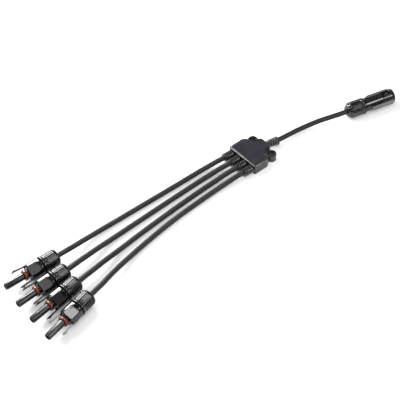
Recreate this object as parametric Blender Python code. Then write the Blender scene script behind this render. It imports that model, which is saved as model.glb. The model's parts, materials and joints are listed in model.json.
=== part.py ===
"""Four-way solar cable connector: a moulded hub, five leads and five screw-cap plugs.

World frame in metres, +Z up.  The origin is under the middle of the hub, on the surface that
everything lies on.  +X runs from the hub along the trunk lead, and the branch leads leave at -X.
Every length below is in millimetres and every angle in degrees; MM turns lengths into metres.
"""
import math

import bmesh
import bpy
from mathutils import Matrix, Vector

MM = 0.001
GAP = 0.3                      # between pieces that touch on the real object
RUN_GAP = 0.4                  # between pieces that slide or turn
LONG = 40.0                    # longer than anything a cutter goes through

# Hub
HUB_LENGTH = 35.5
HUB_WIDTH = 41.5
HUB_HEIGHT = 11.5
HUB_CORNER = 1.3
WALL = 2.2
BASE_HEIGHT = 9.4
PANEL_PROUD = 0.3
PANEL_THICK = 0.9
PANEL_INSET = 3.2
LUG_X = 11.85
LUG_Y = 14.6
LUG_RADIUS = 5.6
LUG_HEIGHT = 7.6
LUG_HOLE = 3.1
LUG_RECESS = 6.0
LEAD_HEIGHT = 5.6              # of the lead's centre line where it leaves the hub
BRANCH_PITCH = 10.0
INSIDE = 6.0                   # how far a lead reaches past the hub's outer face
FERRULE_LENGTH = 7.0
FERRULE_RADIUS = 2.0

# Leads and their strain reliefs
LEAD_RADIUS = 2.8
LEAD_HOLE = 3.3
RELIEF_RADIUS = 4.75
RELIEF_LENGTH = 11.6
RELIEF_RIDGES = 5
TRUNK_RELIEF_RADIUS = 5.1
TRUNK_RELIEF_LENGTH = 14.7
POINT_SPACING = 11.0           # between the points of a lead's tube

# Plugs, along their own axis from the back of the cap nut
NUTS = {"branch": (19.2, 8.9, 9.5), "trunk": (21.2, 9.1, 9.5)}  # length, grip and flange radius
NUT_RIBS = 16
RIB_DEPTH = 0.45
NUT_BORE = 7.25
NUT_HOLE = 3.5
NUT_WALL = 2.5
NUT_TAPER = 2.2
SEAM = 0.8                     # between a nut and the body in front of it
TAIL_START = 7.5
TAIL_RADIUS = 6.85
CLAMP_START = 3.2
CLAMP_END = 14.0
CLAMP_RADIUS = 5.75
CLAMP_INNER = 5.0
SHOULDER = 16.5
BARREL_END = 27.0
LEAD_END = 17.9

BRANCH_LENGTH = 61.7
BODY_RADIUS = 9.1
BODY_FRONT = 35.0
NOSE_RADIUS = 3.7
NOSE_BORE = 2.7
RING_X = 38.9
RING_INNER = 3.7
RING_OUTER = 5.7
RING_WIDTH = 3.2
FINGER_ROOT = 27.6
FINGER_PIVOT = (28.9, 7.7)
FINGER_END = 49.5
FINGER_HEIGHT = 3.4
FINGER_THICK = 1.5
SLOT_START = 27.1
POCKET_ROOT = 26.2
POCKET_HALF = 5.2
POCKET_DEPTH = 6.4

TRUNK_LENGTH = 59.5
SHELL_RADIUS = 8.1
COLLAR_START = 51.5
COLLAR_RADIUS = 8.5
SHELL_BORE = 6.1
SHELL_FLOOR = 33.0
WINDOW = (44.5, 53.7, 4.7)     # start, end and half width
RAIL = (28.0, 57.0, 3.8, 8.55)  # start, end, half height and reach from the axis
PIN_RADIUS = 1.45
PIN_END = 47.0
SOCKET_RADIUS = 2.3
SOCKET_BORE = 1.5
SOCKET_END = 59.5

ROUND = 20                     # sides of a turned piece
FINE = 12                      # sides of a small turned piece

# Where the back of each cap nut lies (x, y), which way its plug points and how far it has rolled
PLUGS = {
    "branch_1": (-248.9, 20.9, 178.5, -28.0),
    "branch_2": (-252.4, 0.3, 183.0, -28.0),
    "branch_3": (-253.8, -19.1, 187.6, -34.0),
    "branch_4": (-255.4, -40.3, 192.0, -20.0),
    "trunk": (119.4, -23.7, -14.6, 8.0),
}
# Each lead's route between the hub's wall and the straight run into its plug (x, y, z)
ROUTES = {
    "branch_1": [(-24.5, 15.2, 5.6), (-30, 16.1, 5.45), (-36.7, 17.1, 5.1), (-45.4, 18.2, 4.3),
                 (-61.2, 19.8, 3.2), (-77.7, 20.4, 2.85), (-110, 21.4, 2.85), (-142, 22.5, 2.85),
                 (-173.7, 23.6, 2.85), (-189.5, 24.0, 3.1), (-209.6, 23.4, 4.6),
                 (-220, 22.6, 6.0), (-230.3, 21.6, 7.6)],
    "branch_2": [(-24.5, 5.2, 5.6), (-30, 5.8, 5.4), (-35, 6.3, 5.1), (-47.4, 7.6, 4.3),
                 (-61.9, 8.6, 3.2), (-77, 8.9, 2.85), (-107, 8.6, 2.85), (-136.4, 8.2, 2.85),
                 (-163.9, 7.7, 2.85), (-191, 7.0, 3.1), (-204.9, 5.9, 4.3), (-219, 4.1, 6.2),
                 (-233, 2.1, 8.3)],
    "branch_3": [(-24.5, -4.8, 5.6), (-30, -4.2, 5.4), (-36, -3.5, 5.1), (-50, -2.6, 4.3),
                 (-63.8, -2.1, 3.2), (-78, -2.1, 2.85), (-106.5, -3.1, 2.85),
                 (-134.5, -4.6, 2.85), (-162.7, -6.4, 2.85), (-191.5, -9.1, 3.3),
                 (-206.3, -11.3, 4.8), (-220, -13.7, 6.8), (-233, -16.2, 8.5)],
    "branch_4": [(-24.5, -14.7, 5.6), (-30, -14.1, 5.4), (-35, -13.5, 5.1), (-51, -12.6, 4.0),
                 (-68, -12.2, 3.1), (-85.6, -12.6, 2.85), (-117.8, -14.0, 2.85),
                 (-147.5, -16.8, 2.85), (-177.6, -20.9, 3.0), (-193.3, -24.0, 3.9),
                 (-209.2, -27.9, 5.7), (-224.9, -32.4, 7.7), (-236, -35.9, 8.8)],
    "trunk": [(25.5, -0.9, 5.5), (32.5, -2.3, 5.1), (42, -3.1, 4.6), (51.2, -3.7, 4.2),
              (65.3, -5.2, 3.9), (78.6, -8.5, 4.9), (89.6, -12.7, 7.0), (98.5, -16.8, 8.5)],
}
STRAIGHT_RUN = (9.5, 6.0, 2.0)  # points of the route on the plug's own axis, behind its nut

COLOURS = {
    "black": (0.012, 0.012, 0.014, 1.0), "lead": (0.045, 0.045, 0.048, 1.0),
    "hub": (0.03, 0.031, 0.034, 1.0), "panel": (0.04, 0.037, 0.052, 1.0),
    "grey": (0.05, 0.052, 0.055, 1.0), "red": (0.55, 0.09, 0.045, 1.0),
    "copper": (0.72, 0.38, 0.24, 1.0), "tin": (0.75, 0.76, 0.78, 1.0),
}
ROUGHNESS = {"black": 0.3, "lead": 0.5, "hub": 0.5, "panel": 0.6, "grey": 0.6, "red": 0.4,
             "copper": 0.3, "tin": 0.3}
METALS = ("copper", "tin")


def clear_scene():
    for item in list(bpy.data.objects):
        bpy.data.objects.remove(item, do_unlink=True)


def material(kind):
    """A Principled material of one of the kinds in COLOURS, made once."""
    found = bpy.data.materials.get(kind)
    if found:
        return found
    made = bpy.data.materials.new(kind)
    made.use_nodes = True
    shader = made.node_tree.nodes["Principled BSDF"]
    shader.inputs["Base Color"].default_value = COLOURS[kind]
    shader.inputs["Roughness"].default_value = ROUGHNESS[kind]
    shader.inputs["Metallic"].default_value = 1.0 if kind in METALS else 0.0
    return made


def place(name, mesh, kind, parent=None, location=(0, 0, 0)):
    """A named object that shows a mesh, under an empty if one is given."""
    thing = bpy.data.objects.new(name, mesh)
    bpy.context.scene.collection.objects.link(thing)
    if not mesh.materials:
        mesh.materials.append(material(kind))
    thing.parent = parent
    thing.location = [MM * value for value in location]
    mesh.shade_smooth()
    mesh.set_sharp_from_angle(angle=math.radians(35))
    return thing


def mesh_from(bm, name):
    bmesh.ops.remove_doubles(bm, verts=bm.verts, dist=1e-6)
    bmesh.ops.recalc_face_normals(bm, faces=bm.faces)
    mesh = bpy.data.meshes.new(name)
    bm.to_mesh(mesh)
    bm.free()
    return mesh


def turned(name, profile, sides=ROUND):
    """The mesh of a profile of (x, radius) points spun about the X axis.

    A profile whose ends lie on the axis is solid; any other profile closes on itself.
    """
    bm = bmesh.new()
    points = [bm.verts.new((MM * x, 0, MM * radius)) for x, radius in profile]
    edges = [bm.edges.new(pair) for pair in zip(points, points[1:])]
    if profile[0][1] > 0:
        edges.append(bm.edges.new((points[-1], points[0])))
    bmesh.ops.spin(bm, geom=points + edges, cent=(0, 0, 0), axis=(1, 0, 0), angle=math.tau,
                   steps=sides, use_merge=True)
    return mesh_from(bm, name)


def prism(name, outline, bottom, top):
    """The mesh of an outline of (x, y) points, extruded from one height to another."""
    bm = bmesh.new()
    face = bm.faces.new([bm.verts.new((MM * x, MM * y, MM * bottom)) for x, y in outline])
    raised = bmesh.ops.extrude_face_region(bm, geom=[face])["geom"]
    corners = [item for item in raised if isinstance(item, bmesh.types.BMVert)]
    bmesh.ops.translate(bm, verts=corners, vec=(0, 0, MM * (top - bottom)))
    return mesh_from(bm, name)


def box(name, low, high):
    outline = [(low[0], low[1]), (high[0], low[1]), (high[0], high[1]), (low[0], high[1])]
    return prism(name, outline, low[2], high[2])


def disc(name, centre, radius, bottom, top, sides=ROUND):
    """The mesh of an upright cylinder."""
    outline = [(centre[0] + radius * math.cos(math.tau * i / sides),
                centre[1] + radius * math.sin(math.tau * i / sides)) for i in range(sides)]
    return prism(name, outline, bottom, top)


def rounded(outline, radius, steps=2):
    """The outline with an arc in place of each corner."""
    result = []
    count = len(outline)
    for i, point in enumerate(outline):
        corner = Vector(point)
        before = (Vector(outline[i - 1]) - corner).normalized()
        after = (Vector(outline[(i + 1) % count]) - corner).normalized()
        half = before.angle(after) / 2
        reach = radius / math.tan(half)
        centre = corner + (before + after).normalized() * radius / math.sin(half)
        start = corner + before * reach - centre
        sweep = start.angle_signed(corner + after * reach - centre)
        for step in range(steps + 1):
            turn = Matrix.Rotation(-sweep * step / steps, 2)
            result.append(tuple(centre + turn @ start))
    return result


def combined(name, base, changes):
    """The base mesh after Boolean changes, given as (operation, mesh) pairs."""
    made = bpy.data.objects.new(name, base)
    bpy.context.scene.collection.objects.link(made)
    helpers = [made]
    for operation, mesh in changes:
        helper = bpy.data.objects.new("helper", mesh)
        bpy.context.scene.collection.objects.link(helper)
        helpers.append(helper)
        change = made.modifiers.new("change", "BOOLEAN")
        change.operation = operation
        change.solver = "EXACT"
        change.object = helper
    bpy.context.view_layer.update()
    graph = bpy.context.evaluated_depsgraph_get()
    result = bpy.data.meshes.new_from_object(made.evaluated_get(graph))
    result.name = name
    for helper in helpers:
        bpy.data.objects.remove(helper, do_unlink=True)
    return result


# ---------------------------------------------------------------- routes

def nut_size(plug):
    """The length, grip radius and flange radius of the plug's cap nut."""
    return NUTS["trunk" if plug == "trunk" else "branch"]


def axis_height(plug):
    """A plug lies on the flange of its nut."""
    return nut_size(plug)[2]


def heading(plug):
    angle = math.radians(PLUGS[plug][2])
    return Vector((math.cos(angle), math.sin(angle), 0))


def route_points(plug):
    """The whole route of a lead in mm: in the hub, out, along the surface and into its plug."""
    if plug == "trunk":
        face, inwards, side = HUB_LENGTH / 2, -1, 0.0
    else:
        face, inwards = -HUB_LENGTH / 2, 1
        side = BRANCH_PITCH * (2.5 - int(plug[-1]))
    start = [(face + inwards * INSIDE * part, side, LEAD_HEIGHT) for part in (1.0, 0.5, 0.0, -0.25)]
    back = Vector((PLUGS[plug][0], PLUGS[plug][1], axis_height(plug)))
    ahead = heading(plug)
    end = [tuple(back - ahead * reach) for reach in STRAIGHT_RUN]
    end += [tuple(back + ahead * reach) for reach in (LEAD_END / 2, LEAD_END)]
    return [Vector(point) for point in start + ROUTES[plug] + end]


def smooth_curve(points, steps=12):
    """A smooth curve through the points, as many short straight steps."""
    knots = [0.0]
    for here, there in zip(points, points[1:]):
        knots.append(knots[-1] + (there - here).length)
    slopes = []
    for i in range(len(points)):
        low, high = max(i - 1, 0), min(i + 1, len(points) - 1)
        slopes.append((points[high] - points[low]) / (knots[high] - knots[low]))
    curve = []
    for i in range(len(points) - 1):
        span = knots[i + 1] - knots[i]
        for step in range(steps):
            t = step / steps
            curve.append(points[i] * (1 + 2 * t) * (1 - t) ** 2
                         + points[i + 1] * t * t * (3 - 2 * t)
                         + slopes[i] * span * t * (1 - t) ** 2
                         - slopes[i + 1] * span * t * t * (1 - t))
    curve.append(points[-1])
    return curve


def at_lengths(curve, lengths):
    """(point, direction) at each of the rising lengths along the curve."""
    found = []
    travelled = 0.0
    wanted = list(lengths)
    for here, there in zip(curve, curve[1:]):
        step = (there - here).length
        while wanted and wanted[0] <= travelled + step:
            found.append((here.lerp(there, (wanted[0] - travelled) / step),
                          (there - here).normalized()))
            wanted.pop(0)
        travelled += step
    for _ in wanted:
        found.append((curve[-1], (curve[-1] - curve[-2]).normalized()))
    return found


def curve_length(curve):
    return sum((there - here).length for here, there in zip(curve, curve[1:]))


def make_lead(plug):
    curve = smooth_curve(route_points(plug))
    length = curve_length(curve)
    count = round(length / POINT_SPACING)
    stations = at_lengths(curve, [length * i / count for i in range(count + 1)])
    line = bpy.data.curves.new(plug + "_lead", "CURVE")
    line.dimensions = "3D"
    line.bevel_depth = MM * LEAD_RADIUS
    line.bevel_resolution = 2
    line.resolution_u = 1
    line.render_resolution_u = 0
    line.use_fill_caps = True
    spline = line.splines.new("POLY")
    spline.points.add(count)
    for target, (point, _) in zip(spline.points, stations):
        target.co = (*(point * MM), 1)
    tube = bpy.data.objects.new(plug + "_lead", line)
    bpy.context.scene.collection.objects.link(tube)
    line.materials.append(material("lead"))


def along(name, stations, radii, bore, sides=FINE):
    """A sleeve round a route: rings of the given radii outside and one bore inside."""
    bm = bmesh.new()

    def ring(point, direction, radius):
        side = direction.cross(Vector((0, 0, 1))).normalized()
        up = side.cross(direction)
        return [bm.verts.new((point + radius * (side * math.cos(math.tau * i / sides)
                                                + up * math.sin(math.tau * i / sides))) * MM)
                for i in range(sides)]

    rings = [ring(*station, radius) for station, radius in zip(stations, radii)]
    rings += [ring(*station, bore) for station in reversed(stations[::2])]
    for here, there in zip(rings, rings[1:] + rings[:1]):
        for i in range(sides):
            k = (i + 1) % sides
            bm.faces.new((here[i], here[k], there[k], there[i]))
    return mesh_from(bm, name)


def make_relief(plug):
    """The ribbed strain relief that a lead leaves the hub through."""
    trunk = plug == "trunk"
    length = TRUNK_RELIEF_LENGTH if trunk else RELIEF_LENGTH
    radius = TRUNK_RELIEF_RADIUS if trunk else RELIEF_RADIUS
    curve = smooth_curve(route_points(plug))
    rings = 2 * RELIEF_RIDGES
    start = INSIDE + GAP
    stations = at_lengths(curve, [start + length * i / rings for i in range(rings + 1)])
    shrink = 1.2 if trunk else 0.0
    radii = [radius - shrink * (1 - i / rings) - (0.6 if i % 2 else 0.0) for i in range(rings + 1)]
    place(plug + "_strain_relief", along(plug + "_strain_relief", stations, radii, LEAD_HOLE), "hub")


# ---------------------------------------------------------------- hub

def hub_outline(inset=0.0):
    """The hub's plan without its lugs: square at the front, stepped in at the back."""
    front, back, side = -HUB_LENGTH / 2, HUB_LENGTH / 2, HUB_WIDTH / 2
    half = [(front + inset, side - inset), (0.5, side - inset), (5.0 - 0.6 * inset, 18.0 - inset),
            (7.4 - inset, 12.0 - 0.4 * inset), (14.0 - 0.3 * inset, 9.4 - 0.5 * inset),
            (back - inset, 7.4 - 0.5 * inset)]
    mirrored = [(x, -y) for x, y in reversed(half)]
    return rounded(half + mirrored, max(HUB_CORNER - 0.5 * inset, 0.5))


def lug_discs(radius, bottom, top, sides=ROUND):
    return [disc("lug", (LUG_X, side * LUG_Y), radius, bottom, top, sides) for side in (1, -1)]


def lead_exits(radius):
    """Cutters for the holes that the leads go through in the hub's walls."""
    cutters = []
    for plug in PLUGS:
        side = 0.0 if plug == "trunk" else BRANCH_PITCH * (2.5 - int(plug[-1]))
        start, end = (HUB_LENGTH / 2 - 6, HUB_LENGTH / 2 + 2) if plug == "trunk" else \
            (-HUB_LENGTH / 2 - 2, -HUB_LENGTH / 2 + 6)
        tube = turned("exit", [(start, 0), (start, radius), (end, radius), (end, 0)], FINE)
        tube.transform(Matrix.Translation((0, MM * side, MM * LEAD_HEIGHT)))
        cutters.append(tube)
    return cutters


def make_hub():
    base = prism("hub_base", hub_outline(), 0, BASE_HEIGHT)
    changes = [("UNION", lug) for lug in lug_discs(LUG_RADIUS, 0, LUG_HEIGHT)]
    changes += [("DIFFERENCE", cut) for cut in lug_discs(LUG_RECESS, LUG_HEIGHT, LONG)]
    changes += [("DIFFERENCE", cut) for cut in lug_discs(LUG_HOLE, -1, LONG, FINE)]
    front, back = -HUB_LENGTH / 2 + WALL, HUB_LENGTH / 2 - WALL
    cavity = [(front, 18.6), (0.0, 18.6), (4.0, 12.0), (7.0, 6.6), (back, 5.0)]
    cavity += [(x, -y) for x, y in reversed(cavity)]
    changes.append(("DIFFERENCE", prism("cavity", cavity, WALL, LONG)))
    changes += [("DIFFERENCE", cut) for cut in lead_exits(LEAD_HOLE)]
    place("hub_base", combined("hub_base", base, changes), "hub")

    cover = prism("hub_cover", hub_outline(), BASE_HEIGHT + GAP, HUB_HEIGHT - PANEL_PROUD)
    notches = [("DIFFERENCE", cut) for cut in lug_discs(LUG_RECESS, 0, LONG)]
    pocket = prism("pocket", hub_outline(PANEL_INSET - GAP),
                   HUB_HEIGHT - PANEL_PROUD - PANEL_THICK + PANEL_PROUD, LONG)
    place("hub_cover", combined("hub_cover", cover, notches + [("DIFFERENCE", pocket)]), "hub")
    panel_bottom = HUB_HEIGHT - PANEL_THICK + GAP
    panel = prism("hub_panel", hub_outline(PANEL_INSET), panel_bottom, HUB_HEIGHT)
    shy = [("DIFFERENCE", cut) for cut in lug_discs(LUG_RECESS + 1.4, 0, LONG)]
    place("hub_panel", combined("hub_panel", panel, shy), "panel")

    bar_top = LEAD_HEIGHT - FERRULE_RADIUS - GAP
    bar = [(-10.5, 16.4), (-6.0, 16.4), (2.5, 4.2), (10.5, 3.0)]
    bar += [(x, -y) for x, y in reversed(bar)]
    place("copper_busbar", prism("copper_busbar", bar, WALL + GAP, bar_top), "copper")
    for plug in PLUGS:
        make_ferrule(plug)


def make_ferrule(plug):
    """The crimp that joins a lead's conductor to the busbar."""
    start, inwards = route_points(plug)[0], 1 if plug != "trunk" else -1
    length = FERRULE_LENGTH if plug != "trunk" else 6.0
    profile = [(GAP, 0), (GAP, 1.7), (1.2, FERRULE_RADIUS), (length - 1.0, FERRULE_RADIUS),
               (length, 1.2), (length, 0)]
    mesh = turned(plug + "_ferrule", profile, FINE)
    if inwards < 0:
        mesh.transform(Matrix.Rotation(math.pi, 4, "Z"))
    place(plug + "_ferrule", mesh, "copper", location=start)


# ---------------------------------------------------------------- plugs

def ribbed_nut(length, radius, flange):
    """A cap nut: a wall at the back, ribs along its grip and a smooth flange at the front."""
    profile = [(0, NUT_HOLE), (0, radius - NUT_TAPER), (NUT_TAPER, radius), (length - 6.0, radius),
               (length - 3.5, radius + 0.3), (length - 1.5, flange), (length, flange),
               (length, NUT_BORE), (NUT_WALL, NUT_BORE), (NUT_WALL, NUT_HOLE)]
    sides = 2 * NUT_RIBS
    mesh = turned("cap_nut", profile, sides)
    for vert in mesh.vertices:
        x, y, z = vert.co / MM
        here = math.hypot(y, z)
        turn = round(math.atan2(z, y) / math.tau * sides)
        if turn % 2 and here > NUT_BORE + 0.5 and NUT_TAPER - 0.1 < x < length - 5.0:
            vert.co.yz *= (here - RIB_DEPTH) / here
    return mesh


def clamp_cage():
    """The slotted collet that the nut squeezes on to the gland seal."""
    profile = [(CLAMP_START, LEAD_HOLE + 0.15), (CLAMP_START, CLAMP_RADIUS),
               (CLAMP_END, CLAMP_RADIUS), (CLAMP_END, CLAMP_INNER), (6.0, CLAMP_INNER),
               (6.0, LEAD_HOLE + 0.15)]
    cage = turned("clamp_cage", profile, ROUND)
    cuts = []
    for turn in (0, 60, 120):
        slot = box("slot", (7.0, -LONG, -0.5), (LONG, LONG, 0.5))
        slot.transform(Matrix.Rotation(math.radians(turn), 4, "X"))
        cuts.append(("DIFFERENCE", slot))
    return combined("clamp_cage", cage, cuts)


def gland_seal():
    return turned("gland_seal", [(6.4, LEAD_HOLE), (6.4, 4.3), (7.4, 4.6), (14.6, 4.6),
                                 (16.1, 4.1), (16.1, LEAD_HOLE)], FINE)


def seal_ring():
    """A fat ring of oval section round the root of the nose."""
    middle, depth = (RING_OUTER + RING_INNER) / 2, (RING_OUTER - RING_INNER) / 2
    section = [(RING_X + RING_WIDTH / 2 * math.cos(math.tau * i / 6),
                middle + depth * math.sin(math.tau * i / 6)) for i in range(6)]
    return turned("seal_ring", section, ROUND)


def d_cutter(side):
    """A D-shaped pocket for the top (side 1) or the bottom (side -1) of a branch plug."""
    outline = [(LONG, -POCKET_HALF), (LONG, POCKET_HALF)]
    outline += [(POCKET_ROOT + POCKET_HALF * math.cos(math.radians(angle)),
                 POCKET_HALF * math.sin(math.radians(angle))) for angle in range(90, 271, 30)]
    span = (POCKET_DEPTH, LONG) if side > 0 else (-LONG, -POCKET_DEPTH)
    return prism("pocket", outline, *span)


def tail_profile(body_start, body_radius):
    """The part of a housing's profile that its nut covers, up to the body's outer edge."""
    return [(TAIL_START, CLAMP_RADIUS + RUN_GAP), (TAIL_START, TAIL_RADIUS),
            (body_start, TAIL_RADIUS), (body_start, body_radius)]


INNER_PROFILE = [(BARREL_END, NOSE_BORE), (BARREL_END, LEAD_HOLE), (SHOULDER, LEAD_HOLE),
                 (SHOULDER, CLAMP_RADIUS + RUN_GAP)]


def branch_housing():
    """The insulating body of a branch plug: threaded tail, round body and narrow nose."""
    groove = RING_WIDTH / 2 + 0.2
    profile = tail_profile(NUTS["branch"][0] + SEAM, BODY_RADIUS)
    profile += [(BODY_FRONT - 1.2, BODY_RADIUS), (BODY_FRONT, BODY_RADIUS - 1.0),
                (BODY_FRONT, NOSE_RADIUS), (RING_X - groove, NOSE_RADIUS),
                (RING_X - groove, RING_INNER - GAP), (RING_X + groove, RING_INNER - GAP),
                (RING_X + groove, NOSE_RADIUS), (BRANCH_LENGTH - 0.3, NOSE_RADIUS),
                (BRANCH_LENGTH, NOSE_RADIUS - 0.3), (BRANCH_LENGTH, NOSE_BORE)]
    housing = turned("branch_housing", profile + INNER_PROFILE)
    changes = [("DIFFERENCE", d_cutter(side)) for side in (1, -1)]
    half = FINGER_HEIGHT / 2 + RUN_GAP
    for side in (1, -1):
        near, far = sorted((side * 5.6, side * LONG))
        changes.append(("DIFFERENCE", box("slot", (SLOT_START, near, -half), (LONG, far, half))))
    return combined("branch_housing", housing, changes)


def snap_finger(side):
    """A sprung arm beside the nose with a barb at its end, about its own pivot."""
    inner = 7.0
    outer = inner + FINGER_THICK
    outline = [(FINGER_ROOT, inner), (BODY_FRONT + 1, inner), (FINGER_END - 0.6, inner + 0.8),
               (FINGER_END, inner + 1.6), (FINGER_END - 4.0, outer + 1.7),
               (FINGER_END - 4.5, outer + 0.8), (BODY_FRONT + 1, outer), (FINGER_ROOT, outer)]
    outline = [(x - FINGER_PIVOT[0], side * (y - FINGER_PIVOT[1])) for x, y in outline]
    return prism("snap_finger", outline, -FINGER_HEIGHT / 2, FINGER_HEIGHT / 2)


def contact(end, radius, bore):
    """A turned contact: a crimp barrel, a shoulder and a pin or a bored socket."""
    barrel = 2.6
    shoulder = BARREL_END - 2.0
    profile = [(LEAD_END + GAP, 0), (LEAD_END + GAP, barrel), (shoulder, barrel),
               (shoulder + 0.6, radius),
               (end - 0.7, radius), (end, radius - 0.6)]
    profile += [(end, bore), (end - 12.0, bore), (end - 12.0, 0)] if bore else [(end, 0)]
    return turned("contact", profile, FINE)


def rail(side):
    """A flat-faced guide along one side of the trunk plug, round at its back end."""
    start, end, half, reach = RAIL
    outline = [(end, -half), (end, half)]
    outline += [(start + half + half * math.cos(math.radians(angle)),
                 half * math.sin(math.radians(angle))) for angle in range(90, 271, 30)]
    mesh = prism("rail", outline, *sorted((side * (SHELL_BORE + 0.5), side * reach)))
    mesh.transform(Matrix.Rotation(-math.pi / 2, 4, "X"))
    return mesh


def trunk_shell():
    """The trunk plug's housing: threaded tail and a long open shell round the pin."""
    profile = tail_profile(NUTS["trunk"][0] + SEAM, SHELL_RADIUS)
    profile += [(COLLAR_START, SHELL_RADIUS), (COLLAR_START + 0.4, COLLAR_RADIUS),
                (TRUNK_LENGTH - 1.0, COLLAR_RADIUS), (TRUNK_LENGTH, COLLAR_RADIUS - 0.8),
                (TRUNK_LENGTH, SHELL_BORE), (SHELL_FLOOR, SHELL_BORE), (SHELL_FLOOR, NOSE_BORE)]
    shell = turned("trunk_shell", profile + INNER_PROFILE)
    changes = [("UNION", rail(side)) for side in (1, -1)]
    start, end, half = WINDOW
    for side in (1, -1):
        low, high = sorted((side * 4.0, side * LONG))
        changes.append(("DIFFERENCE", box("window", (start, -half, low), (end, half, high))))
    return combined("trunk_shell", shell, changes)


def plug_axis(plug):
    """An empty at the back of the plug's nut, pointing the way the plug points."""
    empty = bpy.data.objects.new(plug + "_axis", None)
    bpy.context.scene.collection.objects.link(empty)
    x, y, angle, roll = PLUGS[plug]
    empty.location = (MM * x, MM * y, MM * axis_height(plug))
    empty.rotation_euler = (math.radians(roll), 0, math.radians(angle))
    return empty


def make_plugs():
    nuts = {kind: ribbed_nut(*size) for kind, size in NUTS.items()}
    cage, gland, ring, housing = clamp_cage(), gland_seal(), seal_ring(), branch_housing()
    socket = contact(SOCKET_END, SOCKET_RADIUS, SOCKET_BORE)
    fingers = {"left": snap_finger(1), "right": snap_finger(-1)}
    for plug in PLUGS:
        axis = plug_axis(plug)
        place(plug + "_cap_nut", nuts["trunk" if plug == "trunk" else "branch"], "black", axis)
        place(plug + "_clamp_cage", cage, "grey", axis)
        place(plug + "_gland_seal", gland, "grey", axis)
        if plug == "trunk":
            place("trunk_shell", trunk_shell(), "black", axis)
            place("trunk_pin_contact", contact(PIN_END, PIN_RADIUS, 0), "tin", axis)
            continue
        place(plug + "_housing", housing, "black", axis)
        place(plug + "_seal_ring", ring, "red", axis)
        place(plug + "_socket_contact", socket, "tin", axis)
        for hand, mesh in fingers.items():
            side = 1 if hand == "left" else -1
            place(plug + "_finger_" + hand, mesh, "black", axis,
                  (FINGER_PIVOT[0], side * FINGER_PIVOT[1], 0))


clear_scene()
make_hub()
for name in PLUGS:
    make_lead(name)
    make_relief(name)
make_plugs()
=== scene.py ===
"""The looks of the four-way solar cable connector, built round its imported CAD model.

Lengths in the tables are in millimetres and angles in degrees; MM turns lengths into metres.
"""

import json
import math

import bmesh
import bpy
from mathutils import Matrix, Vector


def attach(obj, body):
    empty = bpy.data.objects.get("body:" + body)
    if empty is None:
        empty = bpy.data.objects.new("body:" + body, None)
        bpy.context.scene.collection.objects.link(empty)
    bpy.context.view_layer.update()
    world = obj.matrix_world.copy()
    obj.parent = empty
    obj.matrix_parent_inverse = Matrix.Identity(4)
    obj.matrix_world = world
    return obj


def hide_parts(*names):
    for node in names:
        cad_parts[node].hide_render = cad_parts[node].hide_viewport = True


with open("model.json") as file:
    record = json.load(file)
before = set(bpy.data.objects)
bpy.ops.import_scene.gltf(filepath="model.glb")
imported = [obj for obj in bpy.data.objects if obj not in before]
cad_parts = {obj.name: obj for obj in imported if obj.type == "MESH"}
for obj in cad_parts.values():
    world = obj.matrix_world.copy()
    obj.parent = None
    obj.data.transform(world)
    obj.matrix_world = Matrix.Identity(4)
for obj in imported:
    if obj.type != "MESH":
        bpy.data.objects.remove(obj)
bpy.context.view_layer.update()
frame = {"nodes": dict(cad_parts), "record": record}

MM = 0.001
LONG = 40.0
ROOT = "hub_and_leads"

# ---------------------------------------------------------------- sizes and places, as in the CAD

HUB_LENGTH = 35.5
HUB_WIDTH = 41.5
HUB_HEIGHT = 11.5
HUB_CORNER = 1.3
BASE_TOP = 9.4
WALL = 2.2
LUG = (11.85, 14.6)
LUG_RADIUS = 5.6
LUG_HEIGHT = 7.6
LUG_HOLE = 3.1
LUG_RECESS = 6.0
PANEL_INSET = 3.2
LEAD_HEIGHT = 5.6
LEAD_RADIUS = 2.8
BRANCH_PITCH = 10.0
INSIDE = 6.0  # how far a lead reaches past the hub's outer face
LEAD_HOLE = 3.3
RELIEFS = {"branch": (11.6, 4.75, 0.0), "trunk": (14.7, 5.1, 1.2)}  # length, radius, narrowing
NUTS = {"branch": (19.2, 8.9, 9.5), "trunk": (21.2, 9.1, 9.5)}  # length, grip and flange radius
SEAM = 0.8  # between a nut and the body in front of it
LEAD_END = 17.9
BRANCH_LENGTH = 61.7
BODY_RADIUS = 9.1
NOSE_RADIUS = 3.7
NOSE_BORE = 2.7
POCKET_ROOT = 26.2
POCKET_HALF = 5.2
POCKET_DEPTH = 6.4  # the height of a pocket's floor above the axis
TRUNK_LENGTH = 59.5
SHELL_RADIUS = 8.1
COLLAR_RADIUS = 8.5
SHELL_BORE = 6.1
SHELL_FLOOR = 33.0
RAIL = (28.0, 57.0, 3.8, 8.55)  # start, end, half height and reach from the axis

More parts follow.
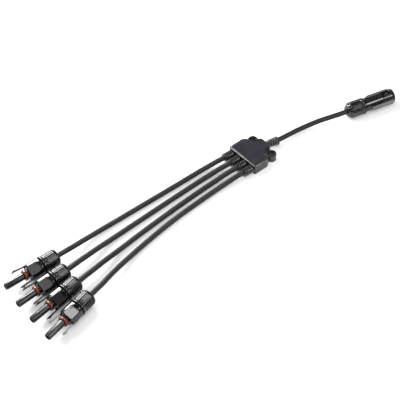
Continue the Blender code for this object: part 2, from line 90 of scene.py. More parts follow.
PLUGS = {  # x, y, direction and roll of each plug's own axes
    "branch_1": (-248.9, 20.9, 178.5, -28.0),
    "branch_2": (-252.4, 0.3, 183.0, -28.0),
    "branch_3": (-253.8, -19.1, 187.6, -34.0),
    "branch_4": (-255.4, -40.3, 192.0, -20.0),
    "trunk": (119.4, -23.7, -14.6, 8.0),
}
ROUTES = {
    "branch_1": [(-24.5, 15.2, 5.6), (-30, 16.1, 5.45), (-36.7, 17.1, 5.1), (-45.4, 18.2, 4.3),
                 (-61.2, 19.8, 3.2), (-77.7, 20.4, 2.85), (-110, 21.4, 2.85), (-142, 22.5, 2.85),
                 (-173.7, 23.6, 2.85), (-189.5, 24.0, 3.1), (-209.6, 23.4, 4.6),
                 (-220, 22.6, 6.0), (-230.3, 21.6, 7.6)],
    "branch_2": [(-24.5, 5.2, 5.6), (-30, 5.8, 5.4), (-35, 6.3, 5.1), (-47.4, 7.6, 4.3),
                 (-61.9, 8.6, 3.2), (-77, 8.9, 2.85), (-107, 8.6, 2.85), (-136.4, 8.2, 2.85),
                 (-163.9, 7.7, 2.85), (-191, 7.0, 3.1), (-204.9, 5.9, 4.3), (-219, 4.1, 6.2),
                 (-233, 2.1, 8.3)],
    "branch_3": [(-24.5, -4.8, 5.6), (-30, -4.2, 5.4), (-36, -3.5, 5.1), (-50, -2.6, 4.3),
                 (-63.8, -2.1, 3.2), (-78, -2.1, 2.85), (-106.5, -3.1, 2.85),
                 (-134.5, -4.6, 2.85), (-162.7, -6.4, 2.85), (-191.5, -9.1, 3.3),
                 (-206.3, -11.3, 4.8), (-220, -13.7, 6.8), (-233, -16.2, 8.5)],
    "branch_4": [(-24.5, -14.7, 5.6), (-30, -14.1, 5.4), (-35, -13.5, 5.1), (-51, -12.6, 4.0),
                 (-68, -12.2, 3.1), (-85.6, -12.6, 2.85), (-117.8, -14.0, 2.85),
                 (-147.5, -16.8, 2.85), (-177.6, -20.9, 3.0), (-193.3, -24.0, 3.9),
                 (-209.2, -27.9, 5.7), (-224.9, -32.4, 7.7), (-236, -35.9, 8.8)],
    "trunk": [(25.5, -0.9, 5.5), (32.5, -2.3, 5.1), (42, -3.1, 4.6), (51.2, -3.7, 4.2),
              (65.3, -5.2, 3.9), (78.6, -8.5, 4.9), (89.6, -12.7, 7.0), (98.5, -16.8, 8.5)],
}
STRAIGHT_RUN = (9.5, 6.0, 2.0)  # points of the route on the plug's own axis, behind its nut

# ---------------------------------------------------------------- sizes of the visible model only

LEAD_POINTS = 36
RELIEF_GAP = 0.06  # between a strain relief and its lead
RELIEF_RINGS = 5
RELIEF_DEPTH = 1.15
BRANCH_RIBS = (22, 1.15)  # count, depth
TRUNK_RIBS = (36, 0.6)
TAIL_RADIUS = 6.82
THREAD_PITCH = 1.5
WINDOW = (44.2, 53.0, 4.7)  # back, front, half width


# ---------------------------------------------------------------- materials

def plastic(name, colour, roughness, grain, bump, drift=0.25, lines=None, **settings):
    """A moulded plastic or rubber: uneven colour and gloss, and a grain of the given size in mm."""
    made = bpy.data.materials.new(name)
    made.use_nodes = True
    nodes, links = made.node_tree.nodes, made.node_tree.links
    shader = nodes["Principled BSDF"]
    for socket, value in settings.items():
        shader.inputs[socket.replace("_", " ")].default_value = value
    place = nodes.new("ShaderNodeTexCoord")

    def noise(size, detail):
        texture = nodes.new("ShaderNodeTexNoise")
        texture.inputs["Scale"].default_value = 1 / (size * MM)
        texture.inputs["Detail"].default_value = detail
        links.new(place.outputs["Object"], texture.inputs["Vector"])
        return texture

    patches = noise(14, 3)
    ramp = nodes.new("ShaderNodeValToRGB")
    for end, share in zip(ramp.color_ramp.elements, (1 - drift, 1 + drift)):
        end.color = (*[min(part * share, 1) for part in colour], 1)
    ramp.color_ramp.elements[0].position = 0.3
    ramp.color_ramp.elements[1].position = 0.7
    links.new(patches.outputs["Fac"], ramp.inputs["Fac"])
    links.new(ramp.outputs["Color"], shader.inputs["Base Color"])

    smears = noise(5, 4)
    gloss = nodes.new("ShaderNodeMapRange")
    gloss.inputs["To Min"].default_value = roughness * 0.82
    gloss.inputs["To Max"].default_value = roughness * 1.2
    links.new(smears.outputs["Fac"], gloss.inputs["Value"])
    links.new(gloss.outputs["Result"], shader.inputs["Roughness"])

    relief = nodes.new("ShaderNodeBump")
    relief.inputs["Strength"].default_value = bump
    relief.inputs["Distance"].default_value = 0.1 * MM
    height = noise(grain, 4).outputs["Fac"]
    if lines:
        wave = nodes.new("ShaderNodeTexWave")
        wave.bands_direction = lines[0]
        wave.inputs["Scale"].default_value = 0.314 / (lines[1] * MM)
        wave.inputs["Distortion"].default_value = 1.5
        wave.inputs["Detail Scale"].default_value = 3.0
        links.new(place.outputs["Object"], wave.inputs["Vector"])
        both = nodes.new("ShaderNodeMath")
        both.operation = "ADD"
        links.new(height, both.inputs[0])
        links.new(wave.outputs["Fac"], both.inputs[1])
        height = both.outputs["Value"]
    links.new(height, relief.inputs["Height"])
    links.new(relief.outputs["Normal"], shader.inputs["Normal"])
    return made


MATERIALS = {
    "plug_black": plastic("plug_black", (0.005, 0.005, 0.0055), 0.14, 0.5, 0.04,
                          Specular_IOR_Level=0.55),
    "hub_shell": plastic("hub_shell", (0.013, 0.0135, 0.0135), 0.26, 0.3, 0.06,
                         Specular_IOR_Level=0.8),
    "hub_panel": plastic("hub_panel", (0.019, 0.0185, 0.025), 0.75, 0.25, 0.35,
                         lines=("X", 0.8), Specular_IOR_Level=0.12),
    "lead_jacket": plastic("lead_jacket", (0.0135, 0.013, 0.015), 0.5, 0.35, 0.15,
                           Specular_IOR_Level=0.3),
    # The same black plastic given a lighter grey base: a painted reflection of the white floor, for
    # the rails' outer faces
    "rail_painted_reflection": plastic("rail_painted_reflection", (0.11, 0.115, 0.12), 0.4, 0.3, 0.1,
                          Specular_IOR_Level=0.9),
    "cage_grey": plastic("cage_grey", (0.06, 0.06, 0.065), 0.45, 0.4, 0.2),
    "seal_grey": plastic("seal_grey", (0.09, 0.09, 0.09), 0.6, 0.4, 0.2),
    "seal_red": plastic("seal_red", (0.15, 0.016, 0.007), 0.2, 0.3, 0.1),
    "copper": plastic("copper", (0.75, 0.4, 0.26), 0.3, 0.3, 0.1, drift=0.1, Metallic=1.0),
    "tinned": plastic("tinned", (0.72, 0.73, 0.75), 0.28, 0.3, 0.1, drift=0.06, Metallic=1.0),
}


# ---------------------------------------------------------------- mesh makers

def finished(bm, name, sharp=38):
    bmesh.ops.remove_doubles(bm, verts=bm.verts, dist=1e-7)
    bmesh.ops.recalc_face_normals(bm, faces=bm.faces)
    mesh = bpy.data.meshes.new(name)
    bm.to_mesh(mesh)
    bm.free()
    mesh.shade_smooth()
    mesh.set_sharp_from_angle(angle=math.radians(sharp))
    return mesh


def soften(outline, radius, steps=3):
    """A closed outline with every corner rounded, less so where its sides are short."""
    result = []
    for i, corner in enumerate(outline):
        corner = Vector(corner)
        before = Vector(outline[i - 1]) - corner
        after = Vector(outline[(i + 1) % len(outline)]) - corner
        start = corner + before * min(radius / before.length, 0.45)
        end = corner + after * min(radius / after.length, 0.45)
        for step in range(steps + 1):
            t = step / steps
            result.append(start * (1 - t) ** 2 + corner * 2 * t * (1 - t) + end * t * t)
    return result


def lathe(name, profile, sides=72, shape=None):
    """A closed outline of (x, radius) spun about X. shape(x, radius, angle) may change a radius."""
    bm = bmesh.new()
    columns = []
    for i in range(sides):
        angle = math.tau * i / sides
        column = []
        for x, radius in profile:
            here = shape(x, radius, angle) if shape else radius
            point = Vector((x, here * math.sin(angle), here * math.cos(angle)))
            column.append(bm.verts.new(point * MM))
        columns.append(column)
    count = len(profile)
    for here, there in zip(columns, columns[1:] + columns[:1]):
        for i in range(count):
            k = (i + 1) % count
            bm.faces.new((here[i], here[k], there[k], there[i]))
    return finished(bm, name)


def prism(name, outline, bottom, top):
    bm = bmesh.new()
    face = bm.faces.new([bm.verts.new((MM * x, MM * y, MM * bottom)) for x, y in outline])
    raised = bmesh.ops.extrude_face_region(bm, geom=[face])["geom"]
    corners = [item for item in raised if isinstance(item, bmesh.types.BMVert)]
    bmesh.ops.translate(bm, verts=corners, vec=(0, 0, MM * (top - bottom)))
    return finished(bm, name)


def stack(name, levels):
    """A solid through outlines with the same count of points, each at its own height."""
    bm = bmesh.new()
    rings = [[bm.verts.new((MM * x, MM * y, MM * height)) for x, y in outline]
             for outline, height in levels]
    bm.faces.new(rings[0])
    bm.faces.new(rings[-1])
    for here, there in zip(rings, rings[1:]):
        for i in range(len(here)):
            k = (i + 1) % len(here)
            bm.faces.new((here[i], here[k], there[k], there[i]))
    return finished(bm, name)


def block(low, high):
    outline = [(low[0], low[1]), (high[0], low[1]), (high[0], high[1]), (low[0], high[1])]
    return prism("block", outline, low[2], high[2])


def circle(centre, radius, sides=48, start=0.0, end=360.0):
    """Points of a circle or an arc."""
    whole = end - start >= 360
    steps = sides if whole else sides - 1
    turns = [math.radians(start + (end - start) * i / steps) for i in range(sides)]
    return [(centre[0] + radius * math.cos(turn), centre[1] + radius * math.sin(turn))
            for turn in turns]


def carved(name, base, changes, sharp=38):
    """The base mesh after Boolean changes, given as (operation, mesh) pairs."""
    made = bpy.data.objects.new(name, base)
    bpy.context.scene.collection.objects.link(made)
    helpers = [made]
    for operation, mesh in changes:
        helper = bpy.data.objects.new("helper", mesh)
        bpy.context.scene.collection.objects.link(helper)
        helpers.append(helper)
        change = made.modifiers.new("change", "BOOLEAN")
        change.operation = operation
        change.solver = "EXACT"
        change.object = helper
    bpy.context.view_layer.update()
    graph = bpy.context.evaluated_depsgraph_get()
    result = bpy.data.meshes.new_from_object(made.evaluated_get(graph))
    for helper in helpers:
        bpy.data.objects.remove(helper, do_unlink=True)
    result.name = name
    result.shade_smooth()
    result.set_sharp_from_angle(angle=math.radians(sharp))
    return result


def show(name, mesh, kind, body, replaced=(), where=None, bevel=0.0, rounds=3):
    """A visible piece: a mesh in a material, riding on a body in place of some CAD nodes."""
    if where is not None:
        mesh.transform(where)
    mesh.materials.clear()
    mesh.materials.append(MATERIALS[kind])
    thing = bpy.data.objects.new(name, mesh)
    bpy.context.scene.collection.objects.link(thing)
    if bevel:
        edge = thing.modifiers.new("edges", "BEVEL")
        edge.width = bevel * MM
        edge.segments = rounds
        edge.limit_method = "ANGLE"
        edge.angle_limit = math.radians(38)
        edge.harden_normals = True
    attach(thing, body)
    if replaced:
        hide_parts(*replaced)
    return thing


# ---------------------------------------------------------------- places along the leads

def kind_of(plug):
    return "trunk" if plug == "trunk" else "branch"


def side_of(plug):
    """How far to the side a lead leaves the hub."""
    return 0.0 if plug == "trunk" else BRANCH_PITCH * (2.5 - int(plug[-1]))


def plug_matrix(plug):
    """From a plug's own axes, starting at the back of its nut, to the row frame."""
    x, y, angle, roll = PLUGS[plug]
    flange = NUTS[kind_of(plug)][2]
    return (Matrix.Translation((x * MM, y * MM, flange * MM))
            @ Matrix.Rotation(math.radians(angle), 4, "Z")
            @ Matrix.Rotation(math.radians(roll), 4, "X"))


def route_points(plug):
    """A lead's centre line, from inside the hub to the contact in the plug."""
    inwards = -1 if plug == "trunk" else 1
    face = -inwards * HUB_LENGTH / 2
    start = [(face + inwards * INSIDE * part, side_of(plug), LEAD_HEIGHT)
             for part in (1.0, 0.5, 0.0, -0.25)]
    x, y, angle = PLUGS[plug][:3]
    back = Vector((x, y, NUTS[kind_of(plug)][2]))
    ahead = Vector((math.cos(math.radians(angle)), math.sin(math.radians(angle)), 0))
    end = [tuple(back - ahead * reach) for reach in STRAIGHT_RUN]
    end += [tuple(back + ahead * reach) for reach in (LEAD_END / 2, LEAD_END)]
    return [Vector(point) for point in start + ROUTES[plug] + end]


def smooth_curve(points, steps=12):
    """Points along a smooth line through the given ones."""
    knots = [0.0]
    for here, there in zip(points, points[1:]):
        knots.append(knots[-1] + (there - here).length)
    slopes = []
    for i in range(len(points)):
        low, high = max(i - 1, 0), min(i + 1, len(points) - 1)
        slopes.append((points[high] - points[low]) / (knots[high] - knots[low]))
    curve = []
    for i in range(len(points) - 1):
        span = knots[i + 1] - knots[i]
        for step in range(steps):
            t = step / steps
            curve.append(points[i] * (1 + 2 * t) * (1 - t) ** 2
                         + points[i + 1] * t * t * (3 - 2 * t)
                         + slopes[i] * span * t * (1 - t) ** 2
                         - slopes[i + 1] * span * t * t * (1 - t))
    curve.append(points[-1])
    return curve


def at_lengths(curve, lengths):
    """(point, direction) at each of the rising lengths along the curve."""
    found = []
    travelled = 0.0
    wanted = list(lengths)
    for here, there in zip(curve, curve[1:]):
        step = (there - here).length
        while wanted and wanted[0] <= travelled + step:
            found.append((here.lerp(there, (wanted[0] - travelled) / step),
                          (there - here).normalized()))
            wanted.pop(0)
        travelled += step
    found += [(curve[-1], (curve[-1] - curve[-2]).normalized())] * len(wanted)
    return found


def curve_length(curve):
    return sum((there - here).length for here, there in zip(curve, curve[1:]))


# ---------------------------------------------------------------- leads and strain reliefs

def make_lead(plug):
    curve = smooth_curve(route_points(plug))
    length = curve_length(curve)
    stations = at_lengths(curve, [length * i / (LEAD_POINTS - 1) for i in range(LEAD_POINTS)])
    line = bpy.data.curves.new(plug + "_jacket", "CURVE")
    line.dimensions = "3D"
    line.bevel_depth = MM * LEAD_RADIUS
    line.bevel_resolution = 8
    line.resolution_u = 4
    line.use_fill_caps = True
    spline = line.splines.new("BEZIER")
    spline.bezier_points.add(LEAD_POINTS - 1)
    for target, station in zip(spline.bezier_points, stations):
        target.co = station[0] * MM
        target.handle_left_type = target.handle_right_type = "AUTO"
    line.materials.append(MATERIALS["lead_jacket"])
    thing = bpy.data.objects.new(plug + "_jacket", line)
    bpy.context.scene.collection.objects.link(thing)
    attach(thing, ROOT)
    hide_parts(plug + "_lead")
    return thing, length


def make_relief(plug):
    """Rounded rings on a sleeve that follows the lead."""
    length, radius, narrowing = RELIEFS[kind_of(plug)]
    curve = smooth_curve(route_points(plug))
    steps = 70
    start = INSIDE + 0.3
    stations = at_lengths(curve, [start + length * i / steps for i in range(steps + 1)])
    sides = 40
    bm = bmesh.new()

    def ring(station, size):
        point, direction = station
        side = direction.cross(Vector((0, 0, 1))).normalized()
        up = side.cross(direction)
        return [bm.verts.new((point + size * (side * math.cos(math.tau * i / sides)
                                              + up * math.sin(math.tau * i / sides))) * MM)
                for i in range(sides)]

    rings = []
    for i, station in enumerate(stations):
        part = i / steps
        wave = 0.5 + 0.5 * math.cos(math.tau * RELIEF_RINGS * part)
        ridge = min(1.0, wave * 1.7)
        size = radius - narrowing * (1 - part) - RELIEF_DEPTH * (1 - ridge)
        if i in (0, steps):
            size -= 0.35
        rings.append(ring(station, size))
    rings += [ring(station, LEAD_RADIUS + RELIEF_GAP) for station in reversed(stations[::10])]
    for here, there in zip(rings, rings[1:] + rings[:1]):
        for i in range(sides):
            k = (i + 1) % sides
            bm.faces.new((here[i], here[k], there[k], there[i]))
    mesh = finished(bm, plug + "_relief", 60)
    return show(plug + "_relief", mesh, "hub_shell", ROOT, [plug + "_strain_relief"])


# ---------------------------------------------------------------- plugs

def rib_wave(angle, count, top=0.5):
    """0 on the slightly rounded top of a rib and 1 at the bottom of the groove beside it."""
    part = abs(2 * ((angle / math.tau * count) % 1.0) - 1)
    if part < top:
        return 0.08 * (part / top) ** 2
    return min(1.0, 0.08 + 0.92 * (part - top) / 0.13)


def fade(x, start, end, over=0.8):
    """1 between start and end, falling to 0 over a short run at each."""
    return max(0.0, min(1.0, (x - start) / over, (end - x) / over))


def steps_between(start, end, radius, count):
    """Extra stations along a straight stretch, so that a shape can change it."""
    return [(start + (end - start) * i / count, radius) for i in range(1, count)]


def nut_inside(length):
    return [(length, 7.5), (length - 0.3, 7.25), (2.5, 7.25), (2.5, 3.05), (0.3, 3.05), (0.0, 3.4)]


def branch_nut():
    """Deep ribs along the grip, and a smooth flange at the front."""
    length, radius, flange = NUTS["branch"]
    outer = [(0.0, 5.4), (0.25, 6.4), (0.9, 7.5), (1.8, 8.4), (2.8, radius)]
    outer += steps_between(2.8, length - 4.8, radius, 8)
    outer += [(length - 4.8, radius), (length - 4.2, radius), (length - 3.6, radius - 0.15),
              (length - 3.0, radius + 0.1), (length - 1.6, flange - 0.05),
              (length - 0.7, flange), (length - 0.2, flange - 0.15), (length, flange - 0.5)]
    ribs, depth = BRANCH_RIBS

    def shape(x, size, angle):
        if size < 6.5 or x > length - 3.8:
            return size
        return size - depth * rib_wave(angle, ribs) * fade(x, 0.6, length - 4.4)

    return lathe("branch_nut", outer + nut_inside(length), 12 * ribs, shape)


def trunk_nut():
    """Fine ribs between six flats, behind a groove and a flange."""
    length, radius, flange = NUTS["trunk"]
    outer = [(0.0, 5.0), (0.3, 5.9), (1.2, 7.0), (3.4, 8.6), (4.0, radius - 0.15), (4.6, radius)]
    outer += steps_between(4.6, length - 5.0, radius, 8)
    outer += [(length - 5.0, radius), (length - 4.4, radius), (length - 3.9, radius - 0.5),
              (length - 3.4, radius - 0.5), (length - 2.9, radius), (length - 1.4, flange - 0.1),
              (length - 0.5, flange - 0.1), (length, flange - 0.6)]
    ribs, depth = TRUNK_RIBS
    first_flat, flat_height = 32, 8.25

    def shape(x, size, angle):
        if size < 7.3 or x < 3.0 or x > length - 3.6:
            return size
        sector = (math.degrees(angle) - first_flat + 30) % 60 - 30
        if abs(sector) < 17:
            flat = flat_height / math.cos(math.radians(sector))
            return size + (min(flat, size) - size) * fade(x, 3.4, length - 4.0, 1.0)
        return size - depth * rib_wave(angle, ribs) * fade(x, 3.4, length - 4.6)

    return lathe("trunk_nut", outer + nut_inside(length), 8 * ribs, shape)


def thread(x, size, angle):
    """A trapezoid thread on the tail that a nut covers."""
    if 6.6 < size < 7.0 and 8.0 < x < 18.4:
        wave = math.cos(math.tau * x / THREAD_PITCH - angle)
        return size + 0.24 * max(-1.0, min(1.0, 1.8 * wave))
    return size


INNER = [(27.0, NOSE_BORE), (27.0, LEAD_HOLE), (16.5, LEAD_HOLE), (16.5, 6.15), (7.5, 6.15)]


def tail(body_start):
    """The nut-covered part of a plug, with stations close enough for its thread."""
    stations = steps_between(7.8, body_start - 0.3, TAIL_RADIUS, 56)
    return [(7.5, 6.6), (7.8, TAIL_RADIUS)] + stations + [(body_start, TAIL_RADIUS)]


def turned_over(mesh, side):
    """The mesh as it is for side 1, and turned half round the plug's axis for side -1."""
    if side < 0:
        mesh.transform(Matrix.Rotation(math.pi, 4, "X"))
    return mesh


def branch_housing():
    """Tail, round body with a D-shaped pocket on two sides, groove for the ring, and nose."""
    start = NUTS["branch"][0] + SEAM
    tip = BRANCH_LENGTH
    outer = tail(start) + [(start, 8.6), (start + 0.35, 8.98), (start + 0.9, BODY_RADIUS)]
    outer += [(33.4, BODY_RADIUS), (33.9, 9.02), (34.7, 8.2), (35.0, 7.7), (35.0, 5.3), (34.8, 5.1),
              (34.8, 4.3), (36.4, 4.2), (36.9, NOSE_RADIUS), (37.05, 3.4), (40.75, 3.4),
              (40.85, NOSE_RADIUS), (42.0, NOSE_RADIUS), (tip - 0.9, NOSE_RADIUS),
              (tip - 0.3, 3.62), (tip, 3.35), (tip, 2.8), (tip - 0.2, NOSE_BORE)]
    flutes, flute_depth = 8, 0.07

    def shape(x, size, angle):
        size = thread(x, size, angle)
        if x > 41.5 and 3.5 < size < 3.8:
            size -= flute_depth * (0.5 - 0.5 * math.cos(flutes * angle))
        return size

    body = lathe("branch_housing", outer + INNER, 120, shape)
    changes = []
    for side in (1, -1):
        outline = [(33.2, -POCKET_HALF), (33.2, POCKET_HALF)]
        outline += circle((POCKET_ROOT, 0), POCKET_HALF, 25, 90, 270)
        reach = sorted((side * POCKET_DEPTH, side * LONG))
        changes.append(("DIFFERENCE", prism("pocket", outline, *reach)))
        well = [(27.6, -3.6), (27.6, 3.6)] + circle((25.9, 0), 3.6, 21, 90, 270)
        changes.append(("DIFFERENCE", prism("well", well, *sorted((side * 5.2, side * 7.0)))))
        step = block((32.9, -POCKET_HALF, 6.9), (LONG, POCKET_HALF, LONG))
        changes.append(("DIFFERENCE", turned_over(step, side)))
        near, far = sorted((side * 5.6, side * LONG))
        changes.append(("DIFFERENCE", block((27.1, near, -2.1), (LONG, far, 2.1))))
    return carved("branch_housing", body, changes)


def snap_finger(side):
    """A sprung arm that widens into a barb with a slanted nose."""
    outline = [(27.6, 7.0), (36.0, 7.0), (48.6, 7.7), (49.3, 8.1), (49.45, 8.6), (45.6, 10.1),
               (45.1, 9.3), (36.0, 8.5), (27.6, 8.5)]
    outline = soften([(x, side * y) for x, y in outline], 0.3, 2)
    half_width = 1.7
    return prism("snap_finger", outline, -half_width, half_width)


def seal_ring():
    """A fat ring of oval section with a low ridge each side of its crown."""
    middle, across = (38.9, 4.7), (1.58, 0.98)
    count = 28
    section = []
    for i in range(count):
        turn = math.tau * i / count
        bulge = 1.0 - 0.05 * math.cos(4 * turn)
        section.append((middle[0] + across[0] * bulge * math.cos(turn),
                        middle[1] + across[1] * bulge * math.sin(turn)))
    return lathe("seal_ring", section)


def trunk_shell():
    """Tail and long shell, with a guide rail on two sides and a window on the other two."""
    start = NUTS["trunk"][0] + SEAM
    mouth = TRUNK_LENGTH
    outer = tail(start) + [(start, 7.7), (start + 0.4, SHELL_RADIUS), (50.9, SHELL_RADIUS)]
    outer += [(51.3, 8.2), (51.6, 8.45), (54.6, COLLAR_RADIUS), (54.8, 8.3), (55.2, 8.3),
              (55.4, COLLAR_RADIUS), (58.4, COLLAR_RADIUS), (mouth - 0.3, 8.1), (mouth, 7.5),
              (mouth, 6.4), (mouth - 0.3, SHELL_BORE), (SHELL_FLOOR, SHELL_BORE),
              (SHELL_FLOOR, NOSE_BORE)]
    shell = lathe("trunk_shell", outer + INNER, 96, thread)
    foot, end, half, reach = RAIL
    changes = []
    for side in (1, -1):
        outline = [(end, -half), (end, half)] + circle((foot + half, 0), half, 25, 90, 270)
        rail = prism("rail", soften(outline, 0.4), *sorted((side * 6.6, side * reach)))
        rail.transform(Matrix.Rotation(-math.pi / 2, 4, "X"))
        changes.append(("UNION", rail))
    back, front, half_width = WINDOW
    for side in (1, -1):
        window = block((back, -half_width, 4.0), (front, half_width, LONG))
        changes.append(("DIFFERENCE", turned_over(window, side)))
        for low, high in ((3.9, 4.9), (-4.9, -3.9)):
            for first, last in ((27.0, 34.6), (35.8, 43.4)):
                near, far = sorted((side * 5.8, side * LONG))
                changes.append(("DIFFERENCE", block((first, near, low), (last, far, high))))
    return carved("trunk_shell", shell, changes)


def make_plug(plug, parts):
    """Everything at a lead's free end: the visible pieces, and the CAD nodes kept inside."""
    where = plug_matrix(plug)
    made = [show(plug + "_nut_shell", parts[kind_of(plug) + "_nut"].copy(), "plug_black",
                 plug + "_nut", [plug + "_cap_nut"], where)]
    if plug == "trunk":
        body = show("trunk_plug_body", parts["trunk_shell"], "plug_black", ROOT,
                    ["trunk_shell"], where, bevel=0.14)
        # The rails' outer faces get the lighter grey, a painted reflection of the white floor on the
        # black plastic
        body.data.materials.append(MATERIALS["rail_painted_reflection"])
        for face in body.data.polygons:
            across = (where.inverted() @ face.center).y / MM
            face.material_index = int(abs(abs(across) - RAIL[3]) < 0.03)
        made.append(body)
        made += [frame["nodes"][plug + inside] for inside in
                 ("_clamp_cage", "_gland_seal", "_pin_contact")]
        return made
    made.append(show(plug + "_plug_body", parts["housing"].copy(), "plug_black", ROOT,
                     [plug + "_housing"], where, bevel=0.14))
    made.append(show(plug + "_red_ring", parts["ring"].copy(), "seal_red", ROOT,
                     [plug + "_seal_ring"], where))
    for hand in ("left", "right"):
        made.append(show(f"{plug}_{hand}_snap_arm", parts["finger_" + hand].copy(), "plug_black",
                         f"{plug}_{hand}_finger", [f"{plug}_finger_{hand}"], where, bevel=0.25))
    made += [frame["nodes"][plug + inside] for inside in
             ("_clamp_cage", "_gland_seal", "_socket_contact")]
    return made


# ---------------------------------------------------------------- hub

def hub_outline(inset=0.0):
    """The hub from above: wide at the branches, and stepped in towards the trunk."""
    front, back, side = -HUB_LENGTH / 2, HUB_LENGTH / 2, HUB_WIDTH / 2
    half = [(front + inset, side - inset), (0.5, side - inset), (5.0 - 0.6 * inset, 18.0 - inset),
            (7.4 - inset, 12.0 - 0.4 * inset), (14.0 - 0.3 * inset, 9.4 - 0.5 * inset),
            (back - inset, 7.4 - 0.5 * inset)]
    mirrored = [(x, -y) for x, y in reversed(half)]
    return soften(half + mirrored, HUB_CORNER, 5)


def lugs(radius, bottom, top, sides=64):
    return [prism("lug", circle((LUG[0], side * LUG[1]), radius, sides), bottom, top)
            for side in (1, -1)]


def make_hub():
    """The tray, the lid and the panel in the lid."""
    base = prism("hub_base", hub_outline(), 0, BASE_TOP)
    changes = [("UNION", lug) for lug in lugs(LUG_RADIUS, 0, LUG_HEIGHT)]
    changes += [("DIFFERENCE", cut) for cut in lugs(LUG_RECESS, LUG_HEIGHT, LONG)]
    changes += [("DIFFERENCE", cut) for cut in lugs(LUG_HOLE, -1, LONG)]
    changes += [("DIFFERENCE", cut) for cut in lugs(LUG_HOLE + 0.9, LUG_HEIGHT - 1.2, LONG)]
    front, back = -HUB_LENGTH / 2 + WALL, HUB_LENGTH / 2 - WALL
    cavity = [(front, 18.6), (0.0, 18.6), (4.0, 12.0), (7.0, 6.6), (back, 5.0)]
    cavity += [(x, -y) for x, y in reversed(cavity)]
    changes.append(("DIFFERENCE", prism("cavity", cavity, WALL, LONG)))
    for plug in PLUGS:
        sign = 1 if plug == "trunk" else -1
        middle = sign * (HUB_LENGTH / 2 - 2)
        tube = lathe("exit", [(middle - 4, 0.001), (middle - 4, LEAD_HOLE),
                              (middle + 4, LEAD_HOLE), (middle + 4, 0.001)], 32)
        tube.transform(Matrix.Translation((0, MM * side_of(plug), MM * LEAD_HEIGHT)))
        changes.append(("DIFFERENCE", tube))
    show("hub_tray", carved("hub_tray", base, changes), "hub_shell", ROOT, ["hub_base"], bevel=0.3)

    cover = stack("hub_lid", [(hub_outline(), BASE_TOP + 0.25), (hub_outline(), HUB_HEIGHT - 0.7),
                              (hub_outline(0.5), HUB_HEIGHT - 0.2)])
    notches = [("DIFFERENCE", cut) for cut in lugs(LUG_RECESS, 0, LONG)]
    pocket = prism("pocket", hub_outline(PANEL_INSET - 0.2), HUB_HEIGHT - 0.9, LONG)
    lid = carved("hub_lid", cover, notches + [("DIFFERENCE", pocket)])
    show("hub_lid", lid, "hub_shell", ROOT, ["hub_cover"], bevel=0.08, rounds=1)

    panel = prism("hub_face", hub_outline(PANEL_INSET), HUB_HEIGHT - 0.85, HUB_HEIGHT)
    shy = [("DIFFERENCE", cut) for cut in lugs(LUG_RECESS + 1.4, 0, LONG)]
    face = carved("hub_face", panel, shy)
    show("hub_face", face, "hub_panel", ROOT, ["hub_panel"], bevel=0.12)


# ---------------------------------------------------------------- studio

def area_light(name, direction, distance, size, power, aim=(-0.08, 0.0, 0.0), turn=0.0):
    """A softbox seen from its aim in the given direction; lengths here are in metres."""
    lamp = bpy.data.lights.new(name, "AREA")
    lamp.shape = "RECTANGLE"
    lamp.size, lamp.size_y = size
    lamp.energy = power
    thing = bpy.data.objects.new(name, lamp)
    aim = Vector(aim)
    thing.location = aim + Vector(direction).normalized() * distance
    facing = (aim - thing.location).to_track_quat("-Z", "Y").to_matrix()
    thing.rotation_euler = (facing @ Matrix.Rotation(math.radians(turn), 3, "Z")).to_euler()
    bpy.context.scene.collection.objects.link(thing)


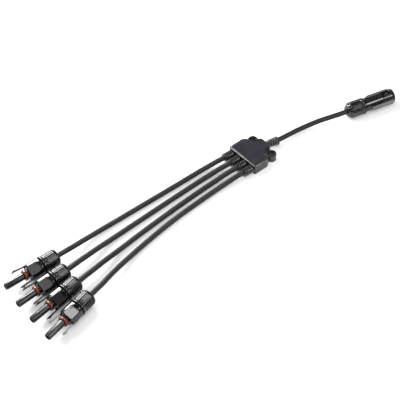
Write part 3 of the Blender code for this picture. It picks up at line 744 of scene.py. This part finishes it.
def make_studio():
    scene = bpy.context.scene
    scene.view_settings.view_transform = "Standard"
    camera = bpy.data.cameras.new("camera")
    camera.lens = 106.2
    camera.sensor_width = 36
    viewer = bpy.data.objects.new("camera", camera)
    viewer.location = (-0.6456, -0.6414, 0.9046)
    target = Vector((-0.0866, -0.0096, 0.0))
    viewer.rotation_euler = (target - viewer.location).to_track_quat("-Z", "Y").to_euler()
    scene.collection.objects.link(viewer)
    scene.camera = viewer

    bm = bmesh.new()
    bmesh.ops.create_grid(bm, x_segments=2, y_segments=2, size=4.0)
    floor = bpy.data.objects.new("floor", finished(bm, "floor"))
    floor.location = (0, 0, -0.0002)
    surface = plastic("floor_white", (0.86, 0.86, 0.87), 0.8, 3.0, 0.02, drift=0.01,
                      Specular_IOR_Level=0.1, Emission_Color=(1, 1, 1, 1), Emission_Strength=0.2)
    floor.data.materials.append(surface)
    scene.collection.objects.link(floor)

    sky = bpy.data.worlds.new("studio")
    sky.use_nodes = True
    sky.node_tree.nodes["Background"].inputs["Color"].default_value = (1, 1, 1, 1)
    sky.node_tree.nodes["Background"].inputs["Strength"].default_value = 0.34
    scene.world = sky
    plugs = (-0.27, 0.0, 0.01)
    area_light("back_softbox", (0.31, 0.80, 0.51), 0.66, (0.2, 0.66), 8, plugs, 11)
    area_light("flat_softbox", (0.445, -0.05, 0.894), 0.6, (0.14, 0.14), 0.6, (-0.283, -0.046, 0.015))
    area_light("front_softbox", (0.32, -0.78, 0.54), 0.85, (0.25, 0.25), 1.1, plugs)
    area_light("trunk_softbox", (0.295, -0.686, 0.666), 0.8, (0.2, 0.2), 1.6, (0.13, -0.03, 0.01))
    area_light("fill_softbox", (0.33, -0.36, 0.87), 1.1, (0.4, 0.3), 0.55, plugs)
    area_light("left_softbox", (-0.73, 0.51, 0.45), 1.3, (0.36, 0.3), 6, (-0.01, 0.0, 0.01))
    area_light("top_softbox", (-0.2, -0.1, 1.0), 1.6, (1.0, 1.0), 3)


# ---------------------------------------------------------------- everything

make_studio()
PARTS = {"branch_nut": branch_nut(), "trunk_nut": trunk_nut(), "housing": branch_housing(),
         "ring": seal_ring(), "trunk_shell": trunk_shell(), "finger_left": snap_finger(1),
         "finger_right": snap_finger(-1)}
make_hub()
for plug in PLUGS:
    jacket, length = make_lead(plug)
    riders = [make_relief(plug)] + make_plug(plug, PARTS)
    hub_side = route_points(plug)[2]
SLOTS = {row["node"]: row["material_slot"] for row in frame["record"]["subparts"]}
for name, node in frame["nodes"].items():
    node.data.materials.clear()
    node.data.materials.append(MATERIALS[SLOTS[name]])

bpy.context.view_layer.update()
